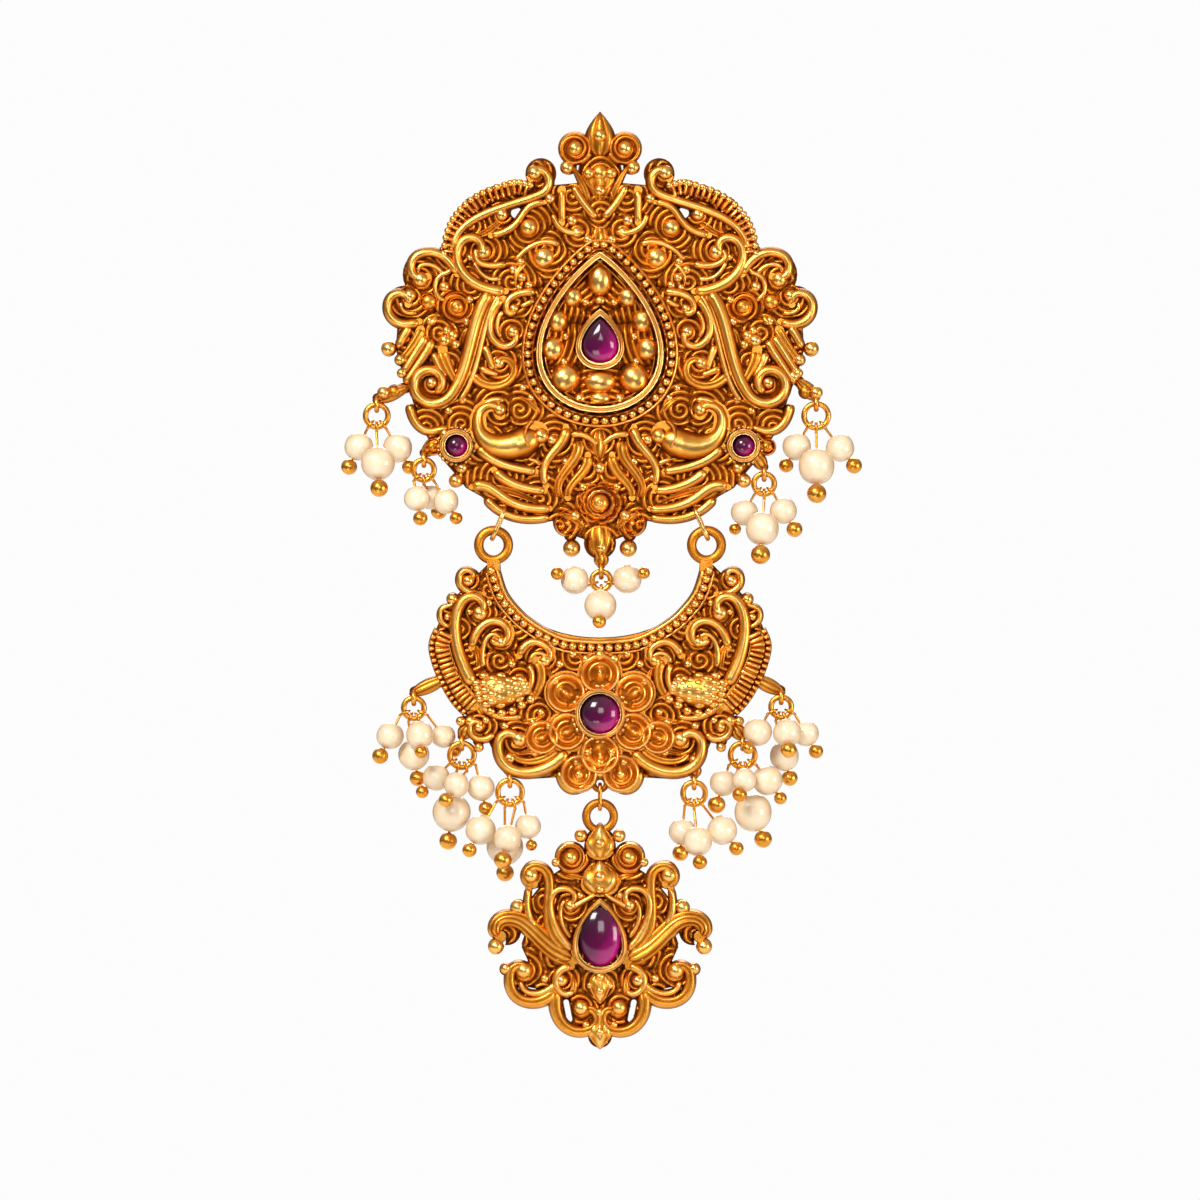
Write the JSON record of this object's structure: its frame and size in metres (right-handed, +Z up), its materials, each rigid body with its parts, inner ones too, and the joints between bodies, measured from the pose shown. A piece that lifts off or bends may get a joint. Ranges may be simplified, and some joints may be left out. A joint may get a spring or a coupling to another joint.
{
  "type": "jadanagam braid ornament",
  "caption": "Pierced gold braid ornament in tiers: a lobed plate, a crescent and a pendant linked by rings, with pear and round red cabochons and pearl drops on jump rings.",
  "frame": {"origin": "middle of the hook on the back of the main plate, on the plate's back face, where the ornament holds on to the braid", "axes": "+Z up along the ornament's length, -Y out of its front, +X to the right seen from the front"},
  "size_m": [0.0651, 0.011, 0.1167],
  "materials": {
    "gold": "gilt, polished on the ridges, darkened in the hollows",
    "ruby": "polished cabochon, deep purple red",
    "pearl": "cream lustre"
  },
  "bodies": {
    "main": {"main_plate": "gold", "main_stone": "ruby", "side_stone_left": "ruby", "side_stone_right": "ruby", "hair_hook": "gold", "jump_ring_main_outer_left": "gold", "pins_main_outer_left": "gold", "pearls_main_outer_left": "pearl", "jump_ring_main_outer_right": "gold", "pins_main_outer_right": "gold", "pearls_main_outer_right": "pearl", "jump_ring_main_inner_left": "gold", "pins_main_inner_left": "gold", "pearls_main_inner_left": "pearl", "jump_ring_main_inner_right": "gold", "pins_main_inner_right": "gold", "pearls_main_inner_right": "pearl", "jump_ring_main_centre": "gold", "pins_main_centre": "gold", "pearls_main_centre": "pearl"},
    "crescent": {"crescent_plate": "gold", "crescent_stone": "ruby", "jump_ring_crescent_1_left": "gold", "pins_crescent_1_left": "gold", "pearls_crescent_1_left": "pearl", "jump_ring_crescent_1_right": "gold", "pins_crescent_1_right": "gold", "pearls_crescent_1_right": "pearl", "jump_ring_crescent_2_left": "gold", "pins_crescent_2_left": "gold", "pearls_crescent_2_left": "pearl", "jump_ring_crescent_2_right": "gold", "pins_crescent_2_right": "gold", "pearls_crescent_2_right": "pearl", "jump_ring_crescent_3_left": "gold", "pins_crescent_3_left": "gold", "pearls_crescent_3_left": "pearl", "jump_ring_crescent_3_right": "gold", "pins_crescent_3_right": "gold", "pearls_crescent_3_right": "pearl"},
    "link": {"pendant_link": "gold"},
    "pendant": {"pendant_plate": "gold", "pendant_stone": "ruby"}
  },
  "joints": [
    {"name": "crescent_swing", "type": "hinge", "parent": "main", "child": "crescent", "pos_m": [0, -0.0015, -0.02379], "axis": [1, 0, 0], "range_deg": [-80, 60]},
    {"name": "link_swing", "type": "hinge", "parent": "crescent", "child": "link", "pos_m": [0, -0.0015, -0.05621], "axis": [1, 0, 0], "range_deg": [-60, 60]},
    {"name": "pendant_swing", "type": "hinge", "parent": "link", "child": "pendant", "pos_m": [0, -0.0015, -0.05778], "axis": [1, 0, 0], "range_deg": [-80, 60]}
  ]
}
